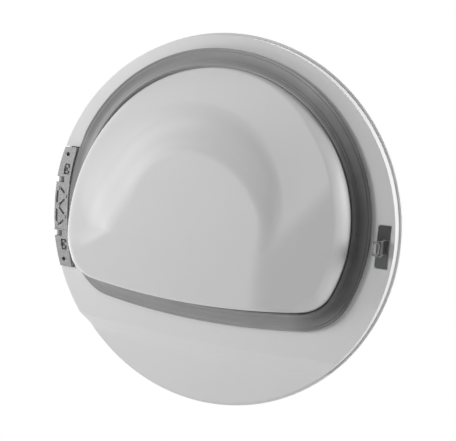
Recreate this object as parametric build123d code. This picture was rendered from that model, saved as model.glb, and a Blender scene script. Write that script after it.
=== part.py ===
from build123d import *
import math
import os

# A round dryer door with its hinge, all sizes in millimetres.
# It is built lying down: x to the latch side, y up, z towards the drum, z = 0 on the rear panel's face.
# At the end every piece is stood up so that the hinge's screw holes give the origin.

# Rear panel
face_radius = 225.0
wall_lean = 2.0
foot_radius = face_radius + wall_lean
step_depth = 13.5
panel_wall = 2.5
panel_base = 3.0
crease_radius = 2310.0
crease_from_edge = 78.0
crease_low_point = face_radius - crease_from_edge
crease_run = 19.0
crease_round = 7.0

# D-shaped outline of the dome's foot
flange_width = 47.0
dee_radius = face_radius - flange_width
dee_centre_y = 10.0
dee_corner_radius = 43.7
dee_bottom_radius = 878.7
crease_to_dee = 49.6
dee_bottom_y = crease_to_dee - crease_low_point

# Drum dome
dome_wall = 2.5
dome_draft = 6.0
bottom_draft = 12.0
dome_flange = 11.0
dome_gap = 0.3
plateau_height = 52.0
plateau_tilt = 5.7
slope_top_height = 4.0
slope_mid_height = 25.0
slope_low_height = 65.0
slope_low_y = -60.0
fall_angle = 16.7
arch_x = -10.0
arch_y = dee_centre_y - 24.0
arch_inset = 75.0
arch_radius = dee_radius - arch_inset
arch_slope = 28.4

# Gasket
gasket_width = 21.3
gasket_lip_height = 7.4
gasket_inner_height = 8.6
gasket_valley = 4.0
gasket_gap = 0.4
rib_inner = 3.0
rib_outer = 8.0
rib_height = 3.0
rib_gap = 0.3

# Outer shell
rim_gap = 0.2
rim_width = 2.8
rim_radius = foot_radius + rim_gap + rim_width
rim_drop = 0.5
rim_height = 4.5
rim_chamfer = 0.4
ledge_width = 3.5
ledge_inner_radius = foot_radius - ledge_width
ledge_height = 2.5
shell_wall = 2.8
front_roll = 18.0
front_edge_radius = rim_radius - front_roll
front_depth = 26.5
front_edge_z = -step_depth - front_depth
front_bulge = 8.0
bend_inset = 5.4
bend_height = 7.8
front_centre_z = front_edge_z - front_bulge

# Hinge
hinge_inset = 12.0
hinge_x = hinge_inset - face_radius
leaf_top = 6.0
leaf_bottom = -2.0
leaf_half_length = 79.4
leaf_edge_inset = 3.5
leaf_outer_radius = face_radius - leaf_edge_inset
leaf_inner_mid_x = hinge_x + 12.5
leaf_inner_end_x = hinge_x + 24.4
leaf_turn_radius = 9.5
leaf_relief = 1.1
relief_half = 31.0
hole_x = hinge_x + 11.0
hole_spacing = 140.0
hole_radius = 2.75
barrel_radius = 5.5
barrel_start = 25.0
barrel_end = 49.0
ear_height = 6.0
ear_centre = 36.0
ear_radius = 5.0
ear_half_width = 4.5
notch_reach = 6.3
notch_end_x = hinge_x + notch_reach
pin_radius = 2.5
pin_running_gap = 0.05
pin_press_gap = 0.01
bush_radius = 3.7
bush_gap = 0.02
flange_thickness = 0.7
flange_gap = 0.05
pocket_gap = 1.2
pocket_floor = -10.3
pocket_skirt = 2.0
side_slot_reach = 5.6
bracket_thickness = 3.0
bracket_half_length = 64.0
bracket_inset = 2.5
bracket_outer_radius = leaf_outer_radius - bracket_inset
bracket_inner_x = hinge_x + 22.0
bracket_screw_x = hinge_x + 10.0
bracket_screw_y = (18.0, 57.0)

# Catch
catch_inset = 5.0
catch_width = 14.5
catch_right = face_radius - catch_inset
catch_left = catch_right - catch_width
catch_half_height = 24.3
catch_sheet = 1.5
catch_recess = 1.2
catch_corner = 3.5
catch_hole_width = 4.9
catch_hole_right = catch_right - 1.0
catch_hole_left = catch_hole_right - catch_hole_width
catch_hole_half = 7.5
tongue_half = 8.3
tongue_height = 19.0
tongue_overhang = 1.8
tongue_reach = catch_left - tongue_overhang
slot_length = 11.6
slot_width = 4.6
collar_width = 1.2
stud_radius = 2.0
stud_y = 16.5
stud_x = catch_left + catch_width / 2
stud_end = -11.5
pad_bottom = -5.0

# Screws
screw_radius = 1.6
screw_clearance = 0.3
screw_grip = 0.02
screw_head_radius = 3.2
screw_head_height = 2.2

# Finger recess
cup_to_catch = 2.5
cup_width = 34.0
cup_right = catch_left - cup_to_catch
cup_left = cup_right - cup_width
cup_half_height = 46.0
cup_floor = -13.0
cup_wall = 2.0
cup_corner = 9.0
cup_gap = 0.3
cup_lip = 4.0
cup_lip_thickness = 1.6


def turned(centre, radius, angle):
    rad = math.radians(angle)
    return (centre[0] + radius * math.cos(rad), centre[1] + radius * math.sin(rad))


lean = math.tan(math.radians(dome_draft))
bottom_lean = math.tan(math.radians(bottom_draft))


def dee_arcs(lift):
    # The four arcs of the D as the dome's wall has it at a height: centre, radius, first angle and span.
    # The centre of the small corner arcs is where they touch both the round top and the long bottom arc.
    radius = dee_radius - lift * lean
    corner_radius = dee_corner_radius - lift * lean
    bottom_radius = dee_bottom_radius - lift * bottom_lean
    bottom_centre = dee_bottom_y + dee_bottom_radius
    top_reach = radius - corner_radius
    bottom_reach = bottom_radius - corner_radius
    squares = bottom_centre**2 - dee_centre_y**2 - bottom_reach**2 + top_reach**2
    corner_y = squares / (2 * (bottom_centre - dee_centre_y))
    corner_x = math.sqrt(top_reach**2 - (corner_y - dee_centre_y) ** 2)
    top_angle = math.degrees(math.atan2(corner_y - dee_centre_y, corner_x))
    bottom_angle = math.degrees(math.atan2(corner_y - bottom_centre, corner_x))
    corner_span = top_angle - bottom_angle
    return (
        ((0.0, dee_centre_y), radius, top_angle, 180 - 2 * top_angle),
        ((-corner_x, corner_y), corner_radius, 180 - top_angle, corner_span),
        ((0.0, bottom_centre), bottom_radius, 180 - bottom_angle, 180 + 2 * bottom_angle),
        ((corner_x, corner_y), corner_radius, bottom_angle, corner_span),
    )


def dee_face(offset, lift=0.0):
    # The D at a height of the dome's wall, grown by an offset.
    edges = []
    for centre, radius, first, span in dee_arcs(lift):
        a = turned(centre, radius + offset, first)
        b = turned(centre, radius + offset, first + span / 2)
        c = turned(centre, radius + offset, first + span)
        edges.append(ThreePointArc(a, b, c))
    return make_face(Wire(edges))


def dee_plate(offset, low, high):
    return extrude(Pos(0, 0, low) * dee_face(offset), amount=high - low)


def dee_ring(section):
    # Turns a section, drawn as (offset outwards, height), along the D's four arcs.
    whole = None
    for centre, radius, first, span in dee_arcs(0):
        plane = Plane(
            origin=(centre[0], centre[1], 0),
            x_dir=turned((0, 0), 1, first) + (0,),
            z_dir=turned((0, 0), 1, first - 90) + (0,),
        )
        piece = revolve(
            plane * (Pos(radius, 0) * section),
            axis=Axis((centre[0], centre[1], 0), (0, 0, 1)),
            revolution_arc=span,
        )
        whole = piece if whole is None else whole + piece
    return whole


def box_between(x0, x1, y0, y1, z0, z1):
    return Pos((x0 + x1) / 2, (y0 + y1) / 2, (z0 + z1) / 2) * Box(x1 - x0, y1 - y0, z1 - z0)


def rod(x, y, z0, z1, radius):
    return Pos(x, y, (z0 + z1) / 2) * Cylinder(radius, z1 - z0)


def frustum(x, y, z0, r0, z1, r1):
    return Pos(x, y, (z0 + z1) / 2) * Cone(r0, r1, z1 - z0)


def upright_rod(x, z, y0, y1, radius):
    # A rod along y.
    return Pos(x, (y0 + y1) / 2, z) * Rotation(90, 0, 0) * Cylinder(radius, y1 - y0)


# Leaf outline, and the same grown on the inner side and the ends for the pocket in the panel.
def leaf_outline(grow, outer_radius):
    half = leaf_half_length + grow
    rise = leaf_inner_end_x - leaf_inner_mid_x
    inner_radius = (leaf_half_length**2 + rise**2) / (2 * rise)
    centre_x = leaf_inner_mid_x + inner_radius
    inner = inner_radius - grow
    end_x = centre_x - math.sqrt(inner**2 - half**2)
    outer_x = -math.sqrt(outer_radius**2 - half**2)
    edges = [
        ThreePointArc((outer_x, half), (-outer_radius, 0), (outer_x, -half)),
        Line((outer_x, -half), (end_x, -half)),
        ThreePointArc((end_x, -half), (centre_x - inner, 0), (end_x, half)),
        Line((end_x, half), (outer_x, half)),
    ]
    return make_face(Wire(edges))


# Rear panel: a raised platform with a drafted wall, ending below in a gentle arc that slopes to the base.
base_z = -step_depth
seat_z = base_z - panel_base


def above_crease(low_y, radius, z):
    # A wide plate that ends below in a gentle arc.
    wide = face_radius + 35
    rise = radius - math.sqrt(radius**2 - wide**2)
    edges = [
        ThreePointArc((-wide, low_y + rise), (0, low_y), (wide, low_y + rise)),
        Line((wide, low_y + rise), (wide, wide)),
        Line((wide, wide), (-wide, wide)),
        Line((-wide, wide), (-wide, low_y + rise)),
    ]
    return Pos(0, 0, z) * make_face(Wire(edges))


def stepped_block(shrink, top, bottom):
    # The platform without its round wall, all of it moved in by the shrink.
    drop = crease_run / step_depth
    upper = -crease_low_point - (-shrink - top) * drop + shrink
    lower = -crease_low_point - (-shrink - bottom) * drop + shrink
    return loft(
        [above_crease(lower, crease_radius, bottom), above_crease(upper, crease_radius, top)], ruled=True
    )


block = stepped_block(0, 0, base_z)
spread = face_radius + 35
block += box_between(-spread, spread, -spread, spread, seat_z, base_z)
crease_edges = block.edges().filter_by(
    lambda e: e.length > spread
    and abs(e.center().X) < 1
    and abs(e.center().Y + crease_low_point) < 2 * crease_run
)
block = fillet(crease_edges, crease_round)
round_form = frustum(0, 0, base_z, foot_radius, 1, face_radius - 0.15)
round_form += rod(0, 0, seat_z - 1, base_z, foot_radius)
panel = block & round_form
hollow = frustum(0, 0, seat_z - 2, foot_radius - panel_wall, -panel_wall + 1, face_radius - panel_wall)
hollow &= stepped_block(panel_wall, -panel_wall, seat_z - 1)
panel -= hollow
inside = frustum(0, 0, seat_z, foot_radius - 0.5, 0, face_radius - 0.5)

# The ridge that the gasket is pushed over, and the D opening.
panel += dee_plate(rib_outer, -panel_wall, rib_height) - dee_plate(rib_inner, -panel_wall, rib_height)
panel -= dee_plate(dome_gap, seat_z, rib_height)

# The hinge pocket, open to the side, with a skirt down to the bracket.
skirt = extrude(leaf_outline(pocket_gap + pocket_skirt, rim_radius), amount=pocket_floor)
skirt &= frustum(0, 0, seat_z, foot_radius - panel_wall, 0, face_radius - panel_wall)
panel += skirt
pocket = extrude(Pos(0, 0, pocket_floor) * leaf_outline(pocket_gap, rim_radius + 4), amount=12)
panel -= pocket
for sign in (-1, 1):
    panel -= box_between(
        hinge_x, leaf_inner_mid_x + side_slot_reach, sign * 37.5 - 8, sign * 37.5 + 8, pocket_floor - 1, 1
    )

# The catch's pad, recess and openings.
pad = box_between(
    catch_left - 3, catch_right + 3, -catch_half_height - 3, catch_half_height + 3, pad_bottom, -0.5
)
panel += pad & inside
panel -= box_between(
    catch_left - rim_gap,
    catch_right + rim_gap,
    -catch_half_height - rim_gap,
    catch_half_height + rim_gap,
    -catch_recess,
    1,
)
panel -= box_between(
    catch_hole_left - 2, catch_hole_right, -catch_hole_half - 1, catch_hole_half + 1, pad_bottom - 1, 1
)
for y in (-stud_y, stud_y):
    panel -= rod(stud_x, y, pad_bottom - 1, 1, stud_radius + screw_clearance)

# Places of the screws that hold the dome, along the ridge.
rib_middle = (rib_inner + rib_outer) / 2
dome_screw_spots = [
    turned((0, dee_centre_y), dee_radius + rib_middle, a) for a in (-15, 20, 55, 90, 125, 160, 195)
]
bottom_middle = (0, dee_bottom_y + dee_bottom_radius)
dome_screw_spots += [
    turned(bottom_middle, dee_bottom_radius + rib_middle, a) for a in (-94.6, -90, -85.4)
]
dome_screw_top = rib_height - 1
for x, y in dome_screw_spots:
    panel -= rod(x, y, -panel_wall, dome_screw_top, screw_radius + screw_grip)

# Drum dome: a drafted D under a face that slopes up from its top edge and falls off to the catch side,
# with an arched plateau that stands out of the slope and leans a little to the top.
def arch(radius, z):
    low = dee_bottom_y - flange_width
    edges = [
        ThreePointArc((arch_x + radius, arch_y), (arch_x, arch_y + radius), (arch_x - radius, arch_y)),
        Line((arch_x - radius, arch_y), (arch_x - radius, low)),
        Line((arch_x - radius, low), (arch_x + radius, low)),
        Line((arch_x + radius, low), (arch_x + radius, arch_y)),
    ]
    return Pos(0, 0, z) * make_face(Wire(edges))


def dome_form(inset, drop, bottom):
    # The dome filled solid, its wall moved in by the inset and its face down by the drop.
    tall = plateau_height + 10
    block = loft([Pos(0, 0, z) * dee_face(-inset, z) for z in (0, tall)], ruled=True)
    block += dee_plate(-inset, bottom, 0)
    top_y = dee_centre_y + dee_radius + dome_flange
    mid_y = (top_y + slope_low_y) / 2
    slope_edges = [
        ThreePointArc(
            (top_y, slope_top_height - drop),
            (mid_y, slope_mid_height - drop),
            (slope_low_y, slope_low_height - drop),
        ),
        Line((slope_low_y, slope_low_height - drop), (-spread, slope_low_height - drop)),
        Line((-spread, slope_low_height - drop), (-spread, bottom - 1)),
        Line((-spread, bottom - 1), (top_y, bottom - 1)),
        Line((top_y, bottom - 1), (top_y, slope_top_height - drop)),
    ]
    slope = extrude(Plane.YZ * make_face(Wire(slope_edges)), amount=spread, both=True)
    arch_foot = arch_radius + plateau_height / math.tan(math.radians(arch_slope))
    arches = [arch(arch_foot - inset, -drop), arch(arch_radius - inset, plateau_height - drop)]
    tilt_line = Pos(0, arch_y, plateau_height)
    raised = tilt_line * Rotation(-plateau_tilt, 0, 0) * tilt_line.inverse() * loft(arches, ruled=True)
    fall_x = arch_x + arch_radius
    fall_end = fall_x + 2 * flange_width
    fall_drop = 2 * flange_width * math.tan(math.radians(fall_angle))
    top = plateau_height - drop
    fall_edges = Polyline(
        (-spread, top),
        (fall_x, top),
        (fall_end, top - fall_drop),
        (spread, top - fall_drop),
        (spread, bottom - 2),
        (-spread, bottom - 2),
        close=True,
    )
    under = extrude(Plane.XZ * make_face(fall_edges), amount=spread, both=True)
    return block & (slope + raised) & under


dome_bottom = -panel_wall - dome_wall
dome = dome_form(0, 0, dome_bottom)
dome += dee_plate(dome_flange, dome_bottom, -panel_wall)
dome -= dome_form(dome_wall, dome_wall, dome_bottom - 1)
for x, y in dome_screw_spots:
    dome -= rod(x, y, -panel_wall - dome_wall - 1, 0, screw_radius + screw_clearance)

# Gasket: a soft valley between the dome's wall and a lip that stands out over the panel.
with BuildSketch() as gasket_section:
    with BuildLine():
        Polyline(
            (gasket_gap, 0),
            (gasket_gap, gasket_inner_height - 1.4),
            (gasket_gap + 0.7, gasket_inner_height),
            (gasket_gap + 1.8, gasket_inner_height),
            (9.6, gasket_valley + 0.3),
            (11.2, gasket_valley),
            (12.8, gasket_valley + 0.2),
            (gasket_width - 1.4, gasket_lip_height),
            (gasket_width - 0.4, gasket_lip_height - 0.1),
            (gasket_width, gasket_lip_height - 1.0),
            (gasket_width - 0.6, gasket_lip_height - 1.9),
            (15.0, 1.6),
            (14.4, 0),
            (rib_outer + rib_gap, 0),
            (rib_outer + rib_gap, rib_height + rib_gap),
            (rib_inner - rib_gap, rib_height + rib_gap),
            (rib_inner - rib_gap, 0),
            close=True,
        )
    make_face()
gasket = dee_ring(gasket_section.sketch)

# Screws driven from inside through the dome's flange into the ridge.
dome_screws = []
dome_seat = dome_bottom
for x, y in dome_screw_spots:
    shank = rod(x, y, dome_seat - 0.5, dome_screw_top - 0.5, screw_radius)
    head = rod(x, y, dome_seat - screw_head_height, dome_seat, screw_head_radius)
    dome_screws.append(shank + head)

# A point half way out on a spherical cap, given its centre height and its edge.
def cap_middle(centre_z, edge):
    rise = edge[1] - centre_z
    radius = (edge[0] ** 2 + rise**2) / (2 * rise)
    return (edge[0] / 2, centre_z + radius - math.sqrt(radius**2 - edge[0] ** 2 / 4))


# Outer shell: a shallow convex dish with a rim that the panel stands in.
rim_top = -step_depth - rim_drop
outer_bend = (rim_radius - bend_inset, front_edge_z + bend_height)
inner_bend = (outer_bend[0] - 4.4, outer_bend[1] + 1.2)
with BuildSketch(Plane.XZ) as shell_section:
    with BuildLine():
        s0 = (0, front_centre_z)
        s1 = (front_edge_radius, front_edge_z)
        s2 = (rim_radius, rim_top - rim_height)
        ThreePointArc(s0, cap_middle(front_centre_z, s1), s1)
        ThreePointArc(s1, outer_bend, s2)
        Line(s2, (rim_radius, rim_top - rim_chamfer))
        Line((rim_radius, rim_top - rim_chamfer), (rim_radius - rim_chamfer, rim_top))
        Line((rim_radius - rim_chamfer, rim_top), (foot_radius + rim_gap, rim_top))
        Line((foot_radius + rim_gap, rim_top), (foot_radius + rim_gap, seat_z))
        Line((foot_radius + rim_gap, seat_z), (ledge_inner_radius, seat_z))
        s3 = (ledge_inner_radius, seat_z - ledge_height)
        Line((ledge_inner_radius, seat_z), s3)
        s4 = (front_edge_radius - 1.5, front_edge_z + shell_wall - 0.2)
        ThreePointArc(s3, inner_bend, s4)
        inner_z = front_centre_z + shell_wall
        ThreePointArc(s4, cap_middle(inner_z, s4), (0, inner_z))
        Line((0, inner_z), s0)
    make_face()
shell = revolve(shell_section.sketch, axis=Axis.Z)
with BuildSketch(Plane.XZ) as room_section:
    with BuildLine():
        Line((0, seat_z), (ledge_inner_radius, seat_z))
        Line((ledge_inner_radius, seat_z), s3)
        ThreePointArc(s3, inner_bend, s4)
        inner_z = front_centre_z + shell_wall
        ThreePointArc(s4, cap_middle(inner_z, s4), (0, inner_z))
        Line((0, inner_z), (0, seat_z))
    make_face()
room = revolve(room_section.sketch, axis=Axis.Z)
full_front = shell + room

# Bosses in the shell for the bracket's screws.
bracket_bottom = pocket_floor - bracket_thickness
boss_spots = [(bracket_screw_x, sign * y) for y in bracket_screw_y for sign in (-1, 1)]
boss_depth = 14.0
boss_foot = front_edge_z + 1.4
for x, y in boss_spots:
    boss = rod(x, y, boss_foot, bracket_bottom, 4.5)
    shell += boss
    shell -= rod(x, y, bracket_bottom - boss_depth, bracket_bottom, screw_radius + screw_grip)

# Finger recess: a cup let into the front, flush with it, its lip behind the shell.
def cup_block(grow, low, high):
    block = box_between(
        cup_left - grow, cup_right + grow, -cup_half_height - grow, cup_half_height + grow, low, high
    )
    return fillet(block.edges().filter_by(Axis.Z), cup_corner + grow)


shell -= cup_block(cup_gap, front_centre_z - 5, cup_floor)
cup = cup_block(0, front_centre_z - 5, cup_floor) & full_front
hand_room = cup_block(-cup_wall, front_centre_z - 6, cup_floor - cup_wall)
lip = cup_block(cup_lip, front_centre_z - 5, seat_z) & room
lip -= room.moved(Pos(0, 0, cup_lip_thickness))
cup = cup + lip - hand_room

# Hinge bracket on the door: a floor with two ears that stand into the leaf's notches.
bracket_outline = leaf_outline(-1.0, bracket_outer_radius)
bracket = extrude(Pos(0, 0, bracket_bottom) * bracket_outline, amount=bracket_thickness)
bracket &= box_between(-rim_radius, bracket_inner_x, -bracket_half_length, bracket_half_length, -20, 0)
ears = {}
for sign in (-1, 1):
    low = sign * ear_centre - ear_height / 2
    high = sign * ear_centre + ear_height / 2
    ear = upright_rod(hinge_x, 0, low, high, ear_radius)
    ear += box_between(
        hinge_x - ear_half_width, hinge_x + ear_half_width, low, high, bracket_bottom, 0
    )
    bracket += ear
    bracket -= upright_rod(hinge_x, 0, low - 1, high + 1, bush_radius + bush_gap)
for x, y in boss_spots:
    bracket -= rod(x, y, bracket_bottom - 1, pocket_floor + 1, screw_radius + screw_clearance)
bracket_screws = []
for x, y in boss_spots:
    shank = rod(x, y, bracket_bottom - boss_depth + 1, pocket_floor + 0.5, screw_radius)
    head = rod(x, y, pocket_floor, pocket_floor + 1.6, screw_head_radius)
    bracket_screws.append(shank + head)


# Flanged bushes, two to an ear, and the pin through them.
def bushes(sign):
    pair = []
    for side in (-1, 1):
        face = sign * ear_centre + side * ear_height / 2
        inner = sign * ear_centre + side * 0.1
        outer = face + side * flange_thickness
        sleeve = upright_rod(hinge_x, 0, min(inner, face), max(inner, face), bush_radius)
        collar = upright_rod(hinge_x, 0, min(face, outer), max(face, outer), ear_radius)
        bore_radius = pin_radius + pin_running_gap
        bore = upright_rod(hinge_x, 0, min(inner, outer) - 1, max(inner, outer) + 1, bore_radius)
        pair.append(sleeve + collar - bore)
    return pair


def pin(sign):
    low = min(sign * barrel_start, sign * barrel_end)
    high = max(sign * barrel_start, sign * barrel_end)
    return upright_rod(hinge_x, 0, low, high, pin_radius)


# Hinge leaf: a cast plate along the door's edge, its ribbed face towards the cabinet.
leaf = extrude(Pos(0, 0, leaf_bottom) * leaf_outline(0, leaf_outer_radius), amount=leaf_top - leaf_bottom)
keep = box_between(hinge_x, 0, -100, 100, -20, 20) + upright_rod(hinge_x, 0, -100, 100, leaf_turn_radius)
leaf &= keep
corner_edges = leaf.edges().filter_by(Axis.Z).filter_by(
    lambda e: e.center().X > leaf_inner_end_x - 4 and abs(e.center().Y) > leaf_half_length - 8
)
leaf = fillet(corner_edges, 3.0)
notch_half = ear_height / 2 + flange_thickness + flange_gap
for sign in (-1, 1):
    low = min(sign * barrel_start, sign * barrel_end)
    high = max(sign * barrel_start, sign * barrel_end)
    leaf += upright_rod(hinge_x, 0, low, high, barrel_radius)
    leaf -= box_between(
        hinge_x - 15,
        notch_end_x,
        sign * ear_centre - notch_half,
        sign * ear_centre + notch_half,
        -20,
        20,
    )
    leaf -= upright_rod(hinge_x, 0, low - 1, high + 1, pin_radius + pin_press_gap)
    leaf -= rod(hole_x, sign * hole_spacing / 2, -20, 20, hole_radius)

# The pockets, slots and small bosses of the cast face, whose middle lies lower than the mounting pads.
slot_floor = leaf_top - 4.5
relief_floor = leaf_top - leaf_relief
leaf -= box_between(-rim_radius, leaf_inner_end_x, -relief_half, relief_half, relief_floor, leaf_top + 5)
for sign in (-1, 1):
    pocket_face = Polyline(
        (hinge_x + 4.8, 43.5),
        (hinge_x + 14.0, 42.8),
        (hinge_x + 15.0, 50),
        (hinge_x + 15.4, 57.2),
        (hinge_x + 8.0, 57.6),
        (hinge_x + 5.6, 52),
        close=True,
    )
    cut = extrude(Pos(0, 0, slot_floor) * make_face(pocket_face), amount=10)
    leaf -= cut if sign > 0 else mirror(cut, about=Plane.XZ)
    for x, y, r in ((8.6, 46.4, 1.7), (12.2, 49.6, 1.5), (9.4, 54.2, 1.9)):
        leaf += rod(hinge_x + x, sign * y, slot_floor - 1, leaf_top - 1.2, r)
    for start, end, width in (
        ((-4.6, 5.5), (-4.0, 19.5), 3.2),
        ((1.8, 23.4), (6.2, 18.8), 3.0),
        ((6.6, 9.0), (0.8, 3.2), 3.0),
    ):
        dx = end[0] - start[0]
        dy = end[1] - start[1]
        long = math.hypot(dx, dy) + width
        spot = Pos(hinge_x + (start[0] + end[0]) / 2, (start[1] + end[1]) / 2, slot_floor)
        slot = spot * Rotation(0, 0, math.degrees(math.atan2(dy, dx))) * SlotOverall(long, width)
        cut = extrude(slot, amount=10)
        leaf -= cut if sign > 0 else mirror(cut, about=Plane.XZ)
    for x, y, r in ((-2.8, 24.0, 2.1), (8.2, 13.8, 2.1), (9.6, 37.6, 1.6)):
        leaf += rod(hinge_x + x, sign * y, leaf_top - 3, leaf_top, r)
leaf += rod(hinge_x - 2.4, 0, leaf_top - 3, leaf_top, 2.6)

# Catch: a stamped plate with a tongue that rises and turns towards the dome.
plate_z = -catch_recess
plate = box_between(
    catch_left, catch_right, -catch_half_height, catch_half_height, plate_z, plate_z + catch_sheet
)
plate = fillet(
    plate.edges().filter_by(Axis.Z).filter_by(lambda e: e.center().X < catch_left + 1), catch_corner
)
plate -= box_between(
    catch_hole_left, catch_hole_right, -catch_hole_half, catch_hole_half, plate_z - 1, plate_z + 3
)
riser = box_between(
    catch_hole_left - catch_sheet, catch_hole_left, -tongue_half, tongue_half, plate_z, tongue_height
)
head_bar = box_between(
    tongue_reach, catch_hole_left, -tongue_half, tongue_half, tongue_height - catch_sheet, tongue_height
)
hook = riser + head_bar
bend = hook.edges().filter_by(Axis.Y).filter_by(
    lambda e: e.center().X > catch_hole_left - 0.1 and e.center().Z > tongue_height - 0.1
)
hook = fillet(bend, 2.4)
tip = hook.edges().filter_by(Axis.Z).filter_by(lambda e: e.center().X < tongue_reach + 0.1)
hook = fillet(tip, 3.0)
slot_x = (tongue_reach + catch_hole_left - catch_sheet) / 2
collar = SlotOverall(slot_length + 2 * collar_width, slot_width + 2 * collar_width)
hook += extrude(Pos(slot_x, 0, tongue_height) * Rotation(0, 0, 90) * collar, amount=0.6)
slot = Pos(slot_x, 0, tongue_height - 4) * Rotation(0, 0, 90) * SlotOverall(slot_length, slot_width)
hook -= extrude(slot, amount=8)
catch = plate + hook
for y in (-stud_y, stud_y):
    catch += rod(stud_x, y, stud_end, plate_z + 0.2, stud_radius)

# The plate and nuts that clamp the catch from inside.
backing_bottom = pad_bottom - catch_sheet
backing = box_between(
    catch_left, catch_right - 0.5, -catch_half_height + 1, catch_half_height - 1, backing_bottom, pad_bottom
)
backing -= box_between(
    catch_hole_left - 2, catch_hole_right, -catch_hole_half - 1, catch_hole_half + 1, -20, 0
)
nuts = []
nut_height = 3.2
for y in (-stud_y, stud_y):
    backing -= rod(stud_x, y, -20, 0, stud_radius + screw_clearance)
    nut = extrude(
        Pos(stud_x, y, backing_bottom - nut_height) * RegularPolygon(3.5, 6, major_radius=False),
        amount=nut_height,
    )
    nuts.append(nut - rod(stud_x, y, -20, 0, stud_radius + screw_grip))

# Stand every piece up and put the origin between the hinge's screw holes on the leaf's outer face.
stand = Pos(-hole_x, leaf_top, 0) * Rotation(90, 0, 0)
nodes = {
    "outer_shell": [shell],
    "grip_cup": [cup],
    "rear_panel": [panel],
    "drum_dome": [dome],
    "dome_gasket": [gasket],
    "dome_screws": dome_screws,
    "hinge_bracket": [bracket],
    "hinge_bracket_screws": bracket_screws,
    "upper_hinge_bushes": bushes(1),
    "lower_hinge_bushes": bushes(-1),
    "catch_plate": [catch],
    "catch_backing_plate": [backing],
    "catch_nuts": nuts,
    "hinge_leaf": [leaf],
    "upper_hinge_pin": [pin(1)],
    "lower_hinge_pin": [pin(-1)],
}
os.makedirs("parts", exist_ok=True)
for name, pieces in nodes.items():
    solids = [stand * solid for piece in pieces for solid in piece.solids()]
    shape = solids[0] if len(solids) == 1 else Compound(children=solids)
    export_step(shape, os.path.join("parts", name + ".step"))
    print(name, len(solids), round(sum(s.volume for s in solids) / 1000, 1), "cm3")
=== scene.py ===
import math
import bpy
import numpy as np
from mathutils import Matrix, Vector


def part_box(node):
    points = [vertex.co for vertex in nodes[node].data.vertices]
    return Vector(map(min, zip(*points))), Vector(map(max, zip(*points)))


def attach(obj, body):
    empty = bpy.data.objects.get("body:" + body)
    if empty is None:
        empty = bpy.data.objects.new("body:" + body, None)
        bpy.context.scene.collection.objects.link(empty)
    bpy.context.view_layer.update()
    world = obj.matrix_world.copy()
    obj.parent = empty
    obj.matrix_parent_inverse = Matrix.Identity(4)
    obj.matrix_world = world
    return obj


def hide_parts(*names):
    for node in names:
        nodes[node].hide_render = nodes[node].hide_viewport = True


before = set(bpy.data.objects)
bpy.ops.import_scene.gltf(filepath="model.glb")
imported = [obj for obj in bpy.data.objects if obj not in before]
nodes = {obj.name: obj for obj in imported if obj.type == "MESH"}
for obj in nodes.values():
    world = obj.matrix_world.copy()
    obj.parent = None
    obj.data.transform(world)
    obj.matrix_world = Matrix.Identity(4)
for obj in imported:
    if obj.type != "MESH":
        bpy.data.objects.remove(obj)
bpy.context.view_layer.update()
scene = bpy.context.scene
print("frame loaded:", len(nodes), "nodes")

# The door lies flat in its own sizes (mm), x to the catch, y up and h towards the drum,
# and stands up in the row frame.
door = {"shiftX": 202.0, "shiftY": 6.0}


def standUp(x, y, h):
    # row X = x + shift, row Y = shift - h, row Z = y, all in metres
    return np.stack([x + door["shiftX"], door["shiftY"] - h, y], -1) / 1000.0


def smoothStep(t):
    # 0 below 0, 1 above 1, an even S between
    t = np.clip(t, 0, 1)
    return t * t * (3 - 2 * t)


# The D: a round top, two corner arcs and a long shallow bottom arc, all tangent.
dee = {"radius": 178.0, "centreY": 10.0, "corner": 43.7, "bottom": 878.7, "bottomY": -97.4}


def deeArcs():
    # each arc as centre x, centre y, radius, first angle and span
    low = dee["bottomY"] + dee["bottom"]
    a, b = dee["radius"] - dee["corner"], dee["bottom"] - dee["corner"]
    cy = (low**2 - dee["centreY"] ** 2 - b**2 + a**2) / (2 * (low - dee["centreY"]))
    cx = math.sqrt(a**2 - (cy - dee["centreY"]) ** 2)
    t = math.atan2(cy - dee["centreY"], cx)
    u = math.atan2(cy - low, cx)
    return [
        (0.0, dee["centreY"], dee["radius"], t, math.pi - 2 * t),
        (-cx, cy, dee["corner"], math.pi - t, t - u),
        (0.0, low, dee["bottom"], math.pi - u, math.pi + 2 * u),
        (cx, cy, dee["corner"], u, t - u),
    ]


def deePath(count):
    # points evenly spaced along the D, with the outward normal there: point = arc centre + radius * normal
    arcs = deeArcs()
    ends = np.cumsum([0.0] + [r * span for _, _, r, _, span in arcs])
    run = np.arange(count) / count * ends[-1]
    which = np.clip(np.searchsorted(ends, run, side="right") - 1, 0, len(arcs) - 1)
    table = np.array(arcs)[which]
    angle = table[:, 3] + (run - ends[which]) / table[:, 2]
    normal = np.stack([np.cos(angle), np.sin(angle)], -1)
    return table[:, :2] + table[:, 2:3] * normal, normal


def gridMesh(name, points, closedV=False, tip=None):
    # points[u, v] as a mesh of quads, the last row joined to the first; closedV joins the last column
    # to the first, and tip is a point that closes the last column
    nu, nv = points.shape[:2]
    here = np.arange(nu * nv).reshape(nu, nv)
    after = np.roll(here, -1, 0)
    if closedV:
        quads = np.stack([here, after, np.roll(after, -1, 1), np.roll(here, -1, 1)], -1)
    else:
        quads = np.stack([here[:, :-1], after[:, :-1], after[:, 1:], here[:, 1:]], -1)
    faces = quads.reshape(-1, 4).tolist()
    verts = points.reshape(-1, 3)
    if tip is not None:
        verts = np.concatenate([verts, np.asarray(tip).reshape(1, 3)])
        faces += np.stack([here[:, -1], after[:, -1], np.full(nu, nu * nv)], -1).tolist()
    mesh = bpy.data.meshes.new(name)
    mesh.from_pydata(verts.tolist(), [], faces)
    mesh.polygons.foreach_set("use_smooth", np.ones(len(mesh.polygons), bool))
    mesh.update()
    obj = bpy.data.objects.new(name, mesh)
    scene.collection.objects.link(obj)
    return obj


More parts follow.
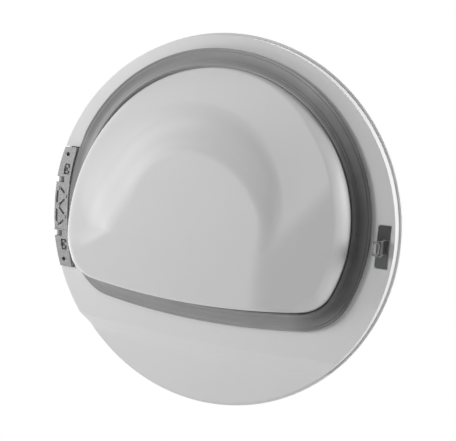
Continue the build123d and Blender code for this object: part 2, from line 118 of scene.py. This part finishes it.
def addNode(tree, kind, inputs=None, **settings):
    # a shader node with its settings; each input is linked from a socket or set to a value
    node = tree.nodes.new("ShaderNode" + kind)
    for key, value in settings.items():
        setattr(node, key, value)
    for key, value in (inputs or {}).items():
        if isinstance(value, bpy.types.NodeSocket):
            tree.links.new(value, node.inputs[key])
        else:
            node.inputs[key].default_value = value
    return node


# Shared effects

def newGroup(name, inputs, outputs):
    # an empty group, with the sockets that lead into it and out of it
    group = bpy.data.node_groups.new(name, "ShaderNodeTree")
    for label, kind, value in inputs:
        socket = group.interface.new_socket(label, in_out="INPUT", socket_type=kind)
        socket.default_value = value
    for label, kind in outputs:
        group.interface.new_socket(label, in_out="OUTPUT", socket_type=kind)
    return group, group.nodes.new("NodeGroupInput").outputs, group.nodes.new("NodeGroupOutput").inputs


def makeMottle():
    # soft cloudy tint plus a fine grain, both from Object coordinates
    group, given, out = newGroup(
        "mottle",
        [
            ("Color", "NodeSocketColor", (0.8, 0.8, 0.8, 1)),
            ("Cloud Scale", "NodeSocketFloat", 9.0),
            ("Cloud Amount", "NodeSocketFloat", 0.04),
            ("Grain Scale", "NodeSocketFloat", 900.0),
            ("Rough Low", "NodeSocketFloat", 0.35),
            ("Rough High", "NodeSocketFloat", 0.45),
        ],
        [("Color", "NodeSocketColor"), ("Roughness", "NodeSocketFloat"), ("Grain", "NodeSocketFloat")],
    )
    place = addNode(group, "TexCoord").outputs["Object"]
    cloud = addNode(group, "TexNoise", {"Vector": place, "Scale": given["Cloud Scale"], "Detail": 4.0})
    grain = addNode(group, "TexNoise", {"Vector": place, "Scale": given["Grain Scale"], "Detail": 2.0})
    centre = addNode(group, "Math", {0: cloud.outputs["Fac"], 1: 0.5}, operation="SUBTRACT")
    amount = addNode(
        group, "Math", {0: centre.outputs[0], 1: given["Cloud Amount"], 2: 1.0}, operation="MULTIPLY_ADD"
    )
    tint = addNode(group, "VectorMath", {0: given["Color"], "Scale": amount.outputs[0]}, operation="SCALE")
    rough = addNode(group, "MapRange", {
        "Value": cloud.outputs["Fac"], "From Min": 0.3, "From Max": 0.7,
        "To Min": given["Rough Low"], "To Max": given["Rough High"],
    })
    group.links.new(tint.outputs[0], out["Color"])
    group.links.new(rough.outputs[0], out["Roughness"])
    group.links.new(grain.outputs["Fac"], out["Grain"])
    return group


def makeRamp():
    # how far a point lies along an axis: 0 at the level, 1 a given length past it, with cloudy edges
    group, given, out = newGroup(
        "ramp",
        [
            ("Axis", "NodeSocketVector", (0, 1, 0)),
            ("Level", "NodeSocketFloat", 0.0),
            ("Length", "NodeSocketFloat", 0.004),
            ("Cloud", "NodeSocketFloat", 0.0),
        ],
        [("Mask", "NodeSocketFloat")],
    )
    place = addNode(group, "TexCoord").outputs["Object"]
    along = addNode(group, "VectorMath", {0: place, 1: given["Axis"]}, operation="DOT_PRODUCT")
    past = addNode(group, "Math", {0: along.outputs["Value"], 1: given["Level"]}, operation="SUBTRACT")
    share = addNode(group, "Math", {0: past.outputs[0], 1: given["Length"]}, operation="DIVIDE")
    cloud = addNode(group, "TexNoise", {"Vector": place, "Scale": 40.0})
    centre = addNode(group, "Math", {0: cloud.outputs["Fac"], 1: 0.5}, operation="SUBTRACT")
    mask = addNode(
        group, "Math", {0: centre.outputs[0], 1: given["Cloud"], 2: share.outputs[0]},
        operation="MULTIPLY_ADD", use_clamp=True,
    )
    group.links.new(mask.outputs[0], out["Mask"])
    return group


def makeEdgeWearAndHighlight():
    # edges made bright, worn on the casting and painted as highlights on the catch: how far the normal
    # rounded over a small radius turns from the face's own
    group, given, out = newGroup(
        "edgeWearAndHighlight",
        [
            ("Radius", "NodeSocketFloat", 0.0006),
            ("Low", "NodeSocketFloat", 0.04),
            ("High", "NodeSocketFloat", 0.3),
        ],
        [("Mask", "NodeSocketFloat")],
    )
    face = addNode(group, "NewGeometry").outputs["Normal"]
    soft = addNode(group, "Bevel", {"Radius": given["Radius"]}, samples=8).outputs["Normal"]
    same = addNode(group, "VectorMath", {0: face, 1: soft}, operation="DOT_PRODUCT")
    turn = addNode(group, "Math", {0: 1.0, 1: same.outputs["Value"]}, operation="SUBTRACT")
    mask = addNode(
        group, "MapRange",
        {"Value": turn.outputs[0], "From Min": given["Low"], "From Max": given["High"]},
        interpolation_type="SMOOTHSTEP",
    )
    group.links.new(mask.outputs[0], out["Mask"])
    return group


mottle = makeMottle()
ramp = makeRamp()
edgeWearAndHighlight = makeEdgeWearAndHighlight()


def ballNormal(tree, ball):
    # the front's middle is part of a ball: there the normal is the direction away from the ball's centre,
    # and it changes to the mesh's own between the inner and the outer distance from the pole
    low, high = (np.array(c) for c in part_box("outer_shell"))
    flat = (high[0] - low[0]) / 2 - ball["roll"]
    radius = (flat**2 + ball["bulge"] ** 2) / (2 * ball["bulge"])
    pole = ((low[0] + high[0]) / 2, high[1], (low[2] + high[2]) / 2)
    centre = (pole[0], pole[1] - radius, pole[2])
    place = addNode(tree, "TexCoord").outputs["Object"]
    away = addNode(tree, "VectorMath", {0: place, 1: centre}, operation="SUBTRACT")
    turn = addNode(
        tree, "VectorTransform", {0: away.outputs[0]},
        vector_type="NORMAL", convert_from="OBJECT", convert_to="WORLD",
    )
    unit = addNode(tree, "VectorMath", {0: turn.outputs[0]}, operation="NORMALIZE")
    reach = addNode(tree, "VectorMath", {0: place, 1: pole}, operation="DISTANCE")
    share = addNode(
        tree, "MapRange",
        {"Value": reach.outputs["Value"], "From Min": ball["inner"], "From Max": ball["outer"]},
        interpolation_type="SMOOTHSTEP",
    )
    face = addNode(tree, "NewGeometry").outputs["Normal"]
    mix = addNode(tree, "Mix", {0: share.outputs[0], 4: unit.outputs[0], 5: face}, data_type="VECTOR")
    return mix.outputs[1]


def newMaterial(name, look):
    # a Principled surface whose colour, roughness and bump come from the mottle group, its colour changed by
    # a fade along an axis (painted shade on the gasket, painted light in the casting's pockets) and by bright
    # edges (worn on the casting, painted highlights on the catch) where the look has them
    mat = bpy.data.materials.new(name)
    mat.use_nodes = True
    tree = mat.node_tree
    bsdf = tree.nodes["Principled BSDF"]
    bsdf.inputs["Metallic"].default_value = look.get("metal", 0.0)
    bsdf.inputs["Specular IOR Level"].default_value = look.get("specular", 0.5)
    cover = addNode(tree, "Group", node_tree=mottle, inputs={
        "Color": (*look["color"], 1), "Rough Low": look["rough"][0], "Rough High": look["rough"][1],
        "Cloud Scale": look.get("cloudScale", 9.0), "Cloud Amount": look["cloud"],
        "Grain Scale": look["grainScale"],
    })
    color = cover.outputs["Color"]
    for kind, group in (("fade", ramp), ("wearAndHighlight", edgeWearAndHighlight)):
        if kind in look:
            mask = addNode(tree, "Group", look[kind]["set"], node_tree=group).outputs["Mask"]
            mix = addNode(tree, "Mix", {0: mask, 6: color, 7: (*look[kind]["color"], 1)}, data_type="RGBA")
            color = mix.outputs[2]
    bump = addNode(tree, "Bump", {
        "Strength": look["bump"], "Distance": look.get("bumpDepth", 0.0002), "Height": cover.outputs["Grain"],
    })
    if "ball" in look:
        tree.links.new(ballNormal(tree, look["ball"]), bump.inputs["Normal"])
    tree.links.new(color, bsdf.inputs["Base Color"])
    tree.links.new(cover.outputs["Roughness"], bsdf.inputs["Roughness"])
    tree.links.new(bump.outputs["Normal"], bsdf.inputs["Normal"])
    return mat


finishes = {
    "panelWhite": {
        "color": (0.83, 0.83, 0.83), "rough": (0.36, 0.46), "cloud": 0.04, "grainScale": 1100, "bump": 0.06,
    },
    "domeWhite": {
        "color": (0.79, 0.79, 0.79), "rough": (0.44, 0.54), "cloud": 0.04, "grainScale": 1100, "bump": 0.05,
    },
    "frontWhite": {
        "color": (0.78, 0.78, 0.78), "rough": (0.42, 0.52), "specular": 0.4, "cloud": 0.03,
        "grainScale": 700, "bump": 0.03,
        "ball": {"roll": 0.018, "bulge": 0.008, "inner": 0.03, "outer": 0.06},
    },
    "gripWhite": {
        "color": (0.76, 0.76, 0.76), "rough": (0.45, 0.58), "cloud": 0.05, "grainScale": 1500, "bump": 0.3,
    },
    # the rubber is painted darker towards the catch, painted shade that stands in for the dome's shadow there
    "gasketGrey": {
        "color": (0.38, 0.38, 0.382), "rough": (0.55, 0.72), "specular": 0.15, "cloud": 0.18,
        "cloudScale": 26, "grainScale": 1700, "bump": 0.18,
        "fade": {
            "set": {"Axis": (1, 0, 0), "Level": 0.315, "Length": 0.075, "Cloud": 0.3},
            "color": (0.128, 0.128, 0.129),
        },
    },
    # the casting is painted paler deep in its pockets, painted light that lifts the shade there, and it is
    # paler along its edges
    "castGrey": {
        "color": (0.295, 0.295, 0.297), "rough": (0.46, 0.62), "metal": 0.4, "cloud": 1.3, "cloudScale": 380,
        "grainScale": 700, "bump": 0.7, "bumpDepth": 0.0004,
        "fade": {
            "set": {"Axis": (0, 1, 0), "Level": 0.0012, "Length": 0.0034, "Cloud": 0.0},
            "color": (0.46, 0.46, 0.462),
        },
        "wearAndHighlight": {"set": {"Radius": 0.0007, "Low": 0.05, "High": 0.35}, "color": (0.46, 0.46, 0.46)},
    },
    # the catch is darkest at its upper end, and its edges are painted bright as highlights
    "catchSteel": {
        "color": (0.06, 0.061, 0.063), "rough": (0.40, 0.56), "metal": 0.3, "cloud": 0.6, "cloudScale": 400,
        "grainScale": 1500, "bump": 0.35,
        "fade": {
            "set": {"Axis": (0, 0, -1), "Level": -0.004, "Length": 0.014, "Cloud": 0.8},
            "color": (0.10, 0.101, 0.103),
        },
        "wearAndHighlight": {"set": {"Radius": 0.0009, "Low": 0.02, "High": 0.2}, "color": (0.8, 0.8, 0.8)},
    },
    "platedSteel": {
        "color": (0.55, 0.55, 0.54), "rough": (0.28, 0.42), "metal": 1.0, "cloud": 0.12, "cloudScale": 80,
        "grainScale": 1500, "bump": 0.15,
    },
    "darkNylon": {
        "color": (0.09, 0.09, 0.092), "rough": (0.4, 0.5), "cloud": 0.1, "grainScale": 1300, "bump": 0.1,
    },
    "bracketGrey": {
        "color": (0.20, 0.20, 0.202), "rough": (0.42, 0.58), "metal": 0.5, "cloud": 0.2, "cloudScale": 60,
        "grainScale": 1300, "bump": 0.4,
    },
    "paleFloor": {
        "color": (0.93, 0.93, 0.93), "rough": (0.75, 0.85), "cloud": 0.01, "cloudScale": 3,
        "grainScale": 200, "bump": 0.02,
    },
}
made = {name: newMaterial(name, look) for name, look in finishes.items()}
print("materials made:", len(made))

finishOf = {
    "outer_shell": "frontWhite", "grip_cup": "gripWhite", "rear_panel": "panelWhite",
    "drum_dome": "domeWhite", "dome_gasket": "gasketGrey", "dome_screws": "platedSteel",
    "hinge_bracket": "bracketGrey", "hinge_bracket_screws": "platedSteel",
    "upper_hinge_bushes": "darkNylon", "lower_hinge_bushes": "darkNylon",
    "catch_plate": "catchSteel", "catch_backing_plate": "platedSteel", "catch_nuts": "platedSteel",
    "hinge_leaf": "castGrey", "upper_hinge_pin": "platedSteel", "lower_hinge_pin": "platedSteel",
}
for name, finish in finishOf.items():
    nodes[name].data.materials.clear()
    nodes[name].data.materials.append(made[finish])
print("finishes given:", len(finishOf))

# Drum dome: the solid's D, slope, plateau and fall, with soft blends between them and rounded edges.
# Dent, leftEase and rightSteep each change the arch by so much round one direction from its centre.
dome = {
    "around": 560, "roundSteps": 10, "faceSteps": 120, "middle": (-10.0, 0.0),
    "flange": 10.0, "flangeZ": -2.6, "foot": 1.2, "draft": 6.0, "bottomDraft": 12.0,
    "plateau": 52.0, "plateauTilt": 0.1, "tiltBlend": 20.0,
    "slope": (44.0, -0.31, 0.0005), "slopeTilt": 0.02, "fallX": 92.0, "fallSlope": 0.32,
    "arch": (-10.0, -14.0), "archRadius": 104.0, "archSlope": 0.54, "legFlare": 1.5,
    "dent": {"by": 14.0, "angle": 150, "width": 28},
    "leftEase": {"by": 0.26, "angle": 165, "width": 40},
    "rightSteep": {"by": 0.14, "angle": 20, "width": 40},
    "ripple": 30.0, "rippleTurns": 1.5, "rippleDepth": 0.036,
    "hillBlend": 4.0, "fallBlend": 5.0, "capBlend": 4.0,
    "edgeRound": 4.0, "sideRound": 8.0, "catchRound": 11.0, "roundMost": 0.7, "catchCrease": 0.45,
    "lowFrom": 0.3, "lowOver": 0.6, "catchFrom": -0.1, "catchOver": 0.8,
    "firstCorner": 30.0, "cornerTries": 8,
}


def softMin(a, b, k):
    # the lower of two heights, with a round blend where they come within k of each other
    return np.minimum(a, b) - np.maximum(k - np.abs(a - b), 0) ** 2 / (4 * k)


def bell(angle, change):
    # a change that is full at one angle and dies away on both sides, in degrees
    return change["by"] * np.exp(-(((angle - change["angle"]) / change["width"]) ** 2))


def domeFace(x, y):
    # height of the face: a slope up from the top edge, an arched hill on it with a wave and a half down
    # its side, a fall to the catch side, and a plateau that cuts them all off
    archX, archY = dome["arch"]
    c0, c1, c2 = dome["slope"]
    slope = c0 + c1 * y + c2 * y**2 + dome["slopeTilt"] * x
    dx, dy = x - archX, np.maximum(y - archY, 0)
    angle = np.degrees(np.arctan2(dy, dx))
    edge = dome["archRadius"] - bell(angle, dome["dent"]) + dome["legFlare"] * np.maximum(archY - y, 0)
    steep = dome["archSlope"] - bell(angle, dome["leftEase"]) + bell(angle, dome["rightSteep"])
    t = np.hypot(dx, dy) - edge
    turns = np.clip(t / dome["ripple"], 0, dome["rippleTurns"])
    wave = np.sin(2 * math.pi * turns) * dome["ripple"] * dome["rippleDepth"]
    tilted = softMin(archY - y, np.zeros_like(y), dome["tiltBlend"])
    cap = dome["plateau"] + dome["plateauTilt"] * tilted
    hill = cap - steep * (t + wave)
    fall = dome["plateau"] - dome["fallSlope"] * (x - dome["fallX"])
    top = softMin(-softMin(-slope, -hill, dome["hillBlend"]), fall, dome["fallBlend"])
    return softMin(top, cap, dome["capBlend"])


def curveThrough(first, bend, last, v):
    # a quadratic curve per row: (1 - v)^2 first + 2 v (1 - v) bend + v^2 last
    return (1 - v) ** 2 * first[:, None] + 2 * v * (1 - v) * bend[:, None] + v**2 * last[:, None]


def makeDome():
    # rows follow the D; each runs from the flange up the drafted wall, round the edge by a curve with its
    # corner where wall and face would meet, pulled in to a crease at the catch side, then over the face
    # towards the middle; s is the offset outwards from the D and h the height
    path, normal = deePath(dome["around"])
    low = smoothStep((-normal[:, 1] - dome["lowFrom"]) / dome["lowOver"])
    toCatch = smoothStep((normal[:, 0] - dome["catchFrom"]) / dome["catchOver"])
    lean = np.tan(np.radians(dome["draft"] + (dome["bottomDraft"] - dome["draft"]) * low))
    corner = np.full(dome["around"], dome["firstCorner"])
    for step in range(dome["cornerTries"]):
        at = path - (lean * corner)[:, None] * normal
        corner = domeFace(at[:, 0], at[:, 1])
    edge = dome["sideRound"] + (dome["edgeRound"] - dome["sideRound"]) * low
    reach = np.minimum(edge + (dome["catchRound"] - edge) * toCatch, dome["roundMost"] * corner)
    wallH, wallS = corner - reach, -lean * (corner - reach)
    faceS = -lean * corner - reach
    faceStart = path + faceS[:, None] * normal
    faceH = domeFace(faceStart[:, 0], faceStart[:, 1])
    pull = dome["catchCrease"] * toCatch
    bendS = -lean * corner * (1 - pull) + (wallS + faceS) / 2 * pull
    bendH = corner * (1 - pull) + (wallH + faceH) / 2 * pull
    v = np.linspace(0, 1, dome["roundSteps"])[None, :]
    one = np.ones((dome["around"], 1))
    footS = one * (dome["flange"], dome["foot"], 0, 0)
    footH = one * (dome["flangeZ"], dome["flangeZ"], dome["flangeZ"] + dome["foot"], 0)
    s = np.concatenate([footS, curveThrough(wallS, bendS, faceS, v)], 1)
    h = np.concatenate([footH, curveThrough(wallH, bendH, faceH, v)], 1)
    wallXY = path[:, None] + s[..., None] * normal[:, None]
    middle = np.array(dome["middle"])
    u = np.linspace(0, 1, dome["faceSteps"] + 1)[1:-1]
    faceXY = faceStart[:, None] * (1 - u)[None, :, None] + middle * u[None, :, None]
    xy = np.concatenate([wallXY, faceXY], 1)
    height = np.concatenate([h, domeFace(faceXY[..., 0], faceXY[..., 1])], 1)
    points = standUp(xy[..., 0], xy[..., 1], height)
    tip = standUp(middle[:1], middle[1:], domeFace(middle[:1], middle[1:]))[0]
    return gridMesh("drumDome", points, tip=tip)


drumDome = makeDome()
drumDome.data.materials.append(made["domeWhite"])
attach(drumDome, "door")
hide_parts("drum_dome")
print("dome made:", len(drumDome.data.polygons), "faces")

# Gasket: a closed section carried along the D, as (offset outwards, height), rounded by a smooth closed
# curve through its points
gasket = {
    "around": 560, "curveSteps": 4, "leafReach": 92.0, "leafBlend": 14,
    "press": 0.35, "pressFrom": 7, "pressOver": 7,
    "section": [
        (0.4, 0.2), (0.5, 6.0), (0.9, 7.9), (1.8, 8.5), (3.0, 8.0), (4.6, 6.6), (5.8, 5.2),
        (6.6, 5.2), (7.6, 4.2), (8.8, 3.4), (10.4, 3.1), (12.4, 3.3), (14.4, 3.9), (16.2, 4.6),
        (17.4, 4.8), (18.2, 4.4), (19.2, 4.9), (20.2, 5.4), (21.0, 5.1), (21.2, 4.3), (19.0, 3.0),
        (16.6, 1.8), (15.0, 1.0), (14.4, 0.2),
    ],
}


def makeGasket():
    # each row is the section at one point of the D: point + offset * normal, at the section's height, with
    # its outer lip pressed down beside the hinge leaf
    b = np.array(gasket["section"])[:, None]
    a, c, d = np.roll(b, 1, 0), np.roll(b, -1, 0), np.roll(b, -2, 0)
    t = (np.arange(gasket["curveSteps"]) / gasket["curveSteps"])[None, :, None]
    curve = b + 0.5 * t * (c - a + t * (2 * a - 5 * b + 4 * c - d + t * (3 * (b - c) + d - a)))
    s, h = curve.reshape(-1, 2).T
    path, normal = deePath(gasket["around"])
    xy = path[:, None] + s[None, :, None] * normal[:, None]
    beside = smoothStep((gasket["leafReach"] - np.abs(path[:, 1])) / gasket["leafBlend"]) * (path[:, 0] < 0)
    outer = smoothStep((s - gasket["pressFrom"]) / gasket["pressOver"])
    press = 1 - gasket["press"] * beside[:, None] * outer[None, :]
    points = standUp(xy[..., 0], xy[..., 1], h[None, :] * press)
    return gridMesh("domeGasket", points[:, ::-1], closedV=True)


domeGasket = makeGasket()
domeGasket.data.materials.append(made["gasketGrey"])
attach(domeGasket, "door")
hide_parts("dome_gasket")
print("gasket made:", len(domeGasket.data.polygons), "faces")

# Camera: its place and axes from the photograph's perspective
view = {
    "place": (0.51286, -0.69148, 0.10028), "right": (0.92084, 0.38268, 0.07487),
    "up": (-0.11541, 0.08408, 0.98976), "back": (0.37247, -0.92005, 0.12158), "lens": 49.92, "sensor": 36.0,
}


def placed(place, right, up, back):
    # the matrix of a camera or lamp at a place, looking away from back
    return Matrix.Translation(place) @ Matrix((right, up, back)).transposed().to_4x4()


camera = bpy.data.objects.new("camera", bpy.data.cameras.new("camera"))
camera.data.lens = view["lens"]
camera.data.sensor_width = view["sensor"]
camera.matrix_world = placed(view["place"], view["right"], view["up"], view["back"])
scene.collection.objects.link(camera)
scene.camera = camera

# Floor: a round pale disc well below the hanging door
floorLook = {
    "z": -1.15, "radius": 1.5, "hole": 0.02, "rings": 12, "around": 96, "centre": (0.2, 0.1),
    "fadeFrom": 0.2, "fadeTo": 1.1,
}


def makeFloor():
    # rings of a flat disc: centre + radius * (cos, sin), at one height
    turn = np.linspace(0, 2 * math.pi, floorLook["around"], endpoint=False)[:, None]
    reach = np.linspace(floorLook["radius"], floorLook["hole"], floorLook["rings"])[None, :]
    x = floorLook["centre"][0] + reach * np.cos(turn)
    y = floorLook["centre"][1] + reach * np.sin(turn)
    points = np.stack([x, y, np.full(x.shape, floorLook["z"])], -1)
    return gridMesh("floor", points, tip=(*floorLook["centre"], floorLook["z"]))


def seenRays(tree):
    # 1 on camera, transmission and glossy rays, 0 on the rays that light the object
    rays = addNode(tree, "LightPath").outputs
    seen = rays["Is Camera Ray"]
    for kind in ("Is Transmission Ray", "Is Glossy Ray"):
        seen = addNode(tree, "Math", {0: seen, 1: rays[kind]}, operation="MAXIMUM").outputs[0]
    return seen


def fadeFloor(mat):
    # where it is seen, the floor turns into the white background from a distance on, so that it has no edge
    tree = mat.node_tree
    place = addNode(tree, "TexCoord").outputs["Object"]
    middle = (*floorLook["centre"], floorLook["z"])
    away = addNode(tree, "VectorMath", {0: place, 1: middle}, operation="DISTANCE")
    share = addNode(
        tree, "MapRange",
        {"Value": away.outputs["Value"], "From Min": floorLook["fadeFrom"], "From Max": floorLook["fadeTo"]},
        interpolation_type="SMOOTHSTEP",
    )
    both = addNode(tree, "Math", {0: share.outputs[0], 1: seenRays(tree)}, operation="MULTIPLY")
    white = addNode(tree, "Emission")
    surface = tree.nodes["Principled BSDF"].outputs[0]
    mix = addNode(tree, "MixShader", {"Fac": both.outputs[0], 1: surface, 2: white.outputs[0]})
    tree.links.new(mix.outputs[0], tree.nodes["Material Output"].inputs["Surface"])


floor = makeFloor()
fadeFloor(made["paleFloor"])
floor.data.materials.append(made["paleFloor"])
print("camera and floor set")

# Lights, each by its angle from the drum side's normal (towards the hinge) and its height angle, both seen
# from the door's middle
lightAim = (0.2, 0.0, 0.0)
lights = {
    "key": {"turn": 41, "rise": 14, "away": 2.1, "size": 0.75, "power": 14.4},
    "graze": {"turn": 77, "rise": -14, "away": 3.3, "size": 1.2, "power": 46.0},
    "high": {"turn": 80, "rise": 60, "away": 2.0, "size": 0.7, "power": 6.0},
    "rim": {"turn": -106, "rise": 15, "away": 1.8, "size": 1.0, "power": 24.0},
    "back": {"turn": 160, "rise": 35, "away": 1.9, "size": 1.2, "power": 6.0},
}
for name, lamp in lights.items():
    data = bpy.data.lights.new(name, "AREA")
    data.shape = "DISK"
    data.size = lamp["size"]
    data.energy = lamp["power"]
    obj = bpy.data.objects.new(name, data)
    t, r = math.radians(lamp["turn"]), math.radians(lamp["rise"])
    back = np.array((-math.sin(t) * math.cos(r), -math.cos(t) * math.cos(r), math.sin(r)))
    side = np.cross((0, 0, 1), back)
    side /= np.linalg.norm(side)
    obj.matrix_world = placed(np.array(lightAim) + back * lamp["away"], side, np.cross(back, side), back)
    scene.collection.objects.link(obj)

# World: a dim white that lights the door and a full white where it is seen
worldLook = {"light": 0.258, "seen": 1.0}
world = bpy.data.worlds.new("studio")
scene.world = world
world.use_nodes = True
sky = world.node_tree
strength = addNode(
    sky, "MapRange", {"Value": seenRays(sky), "To Min": worldLook["light"], "To Max": worldLook["seen"]}
)
background = sky.nodes["Background"]
background.inputs["Color"].default_value = (1, 1, 1, 1)
sky.links.new(strength.outputs[0], background.inputs["Strength"])
scene.view_settings.view_transform = "Standard"
print("stage set")
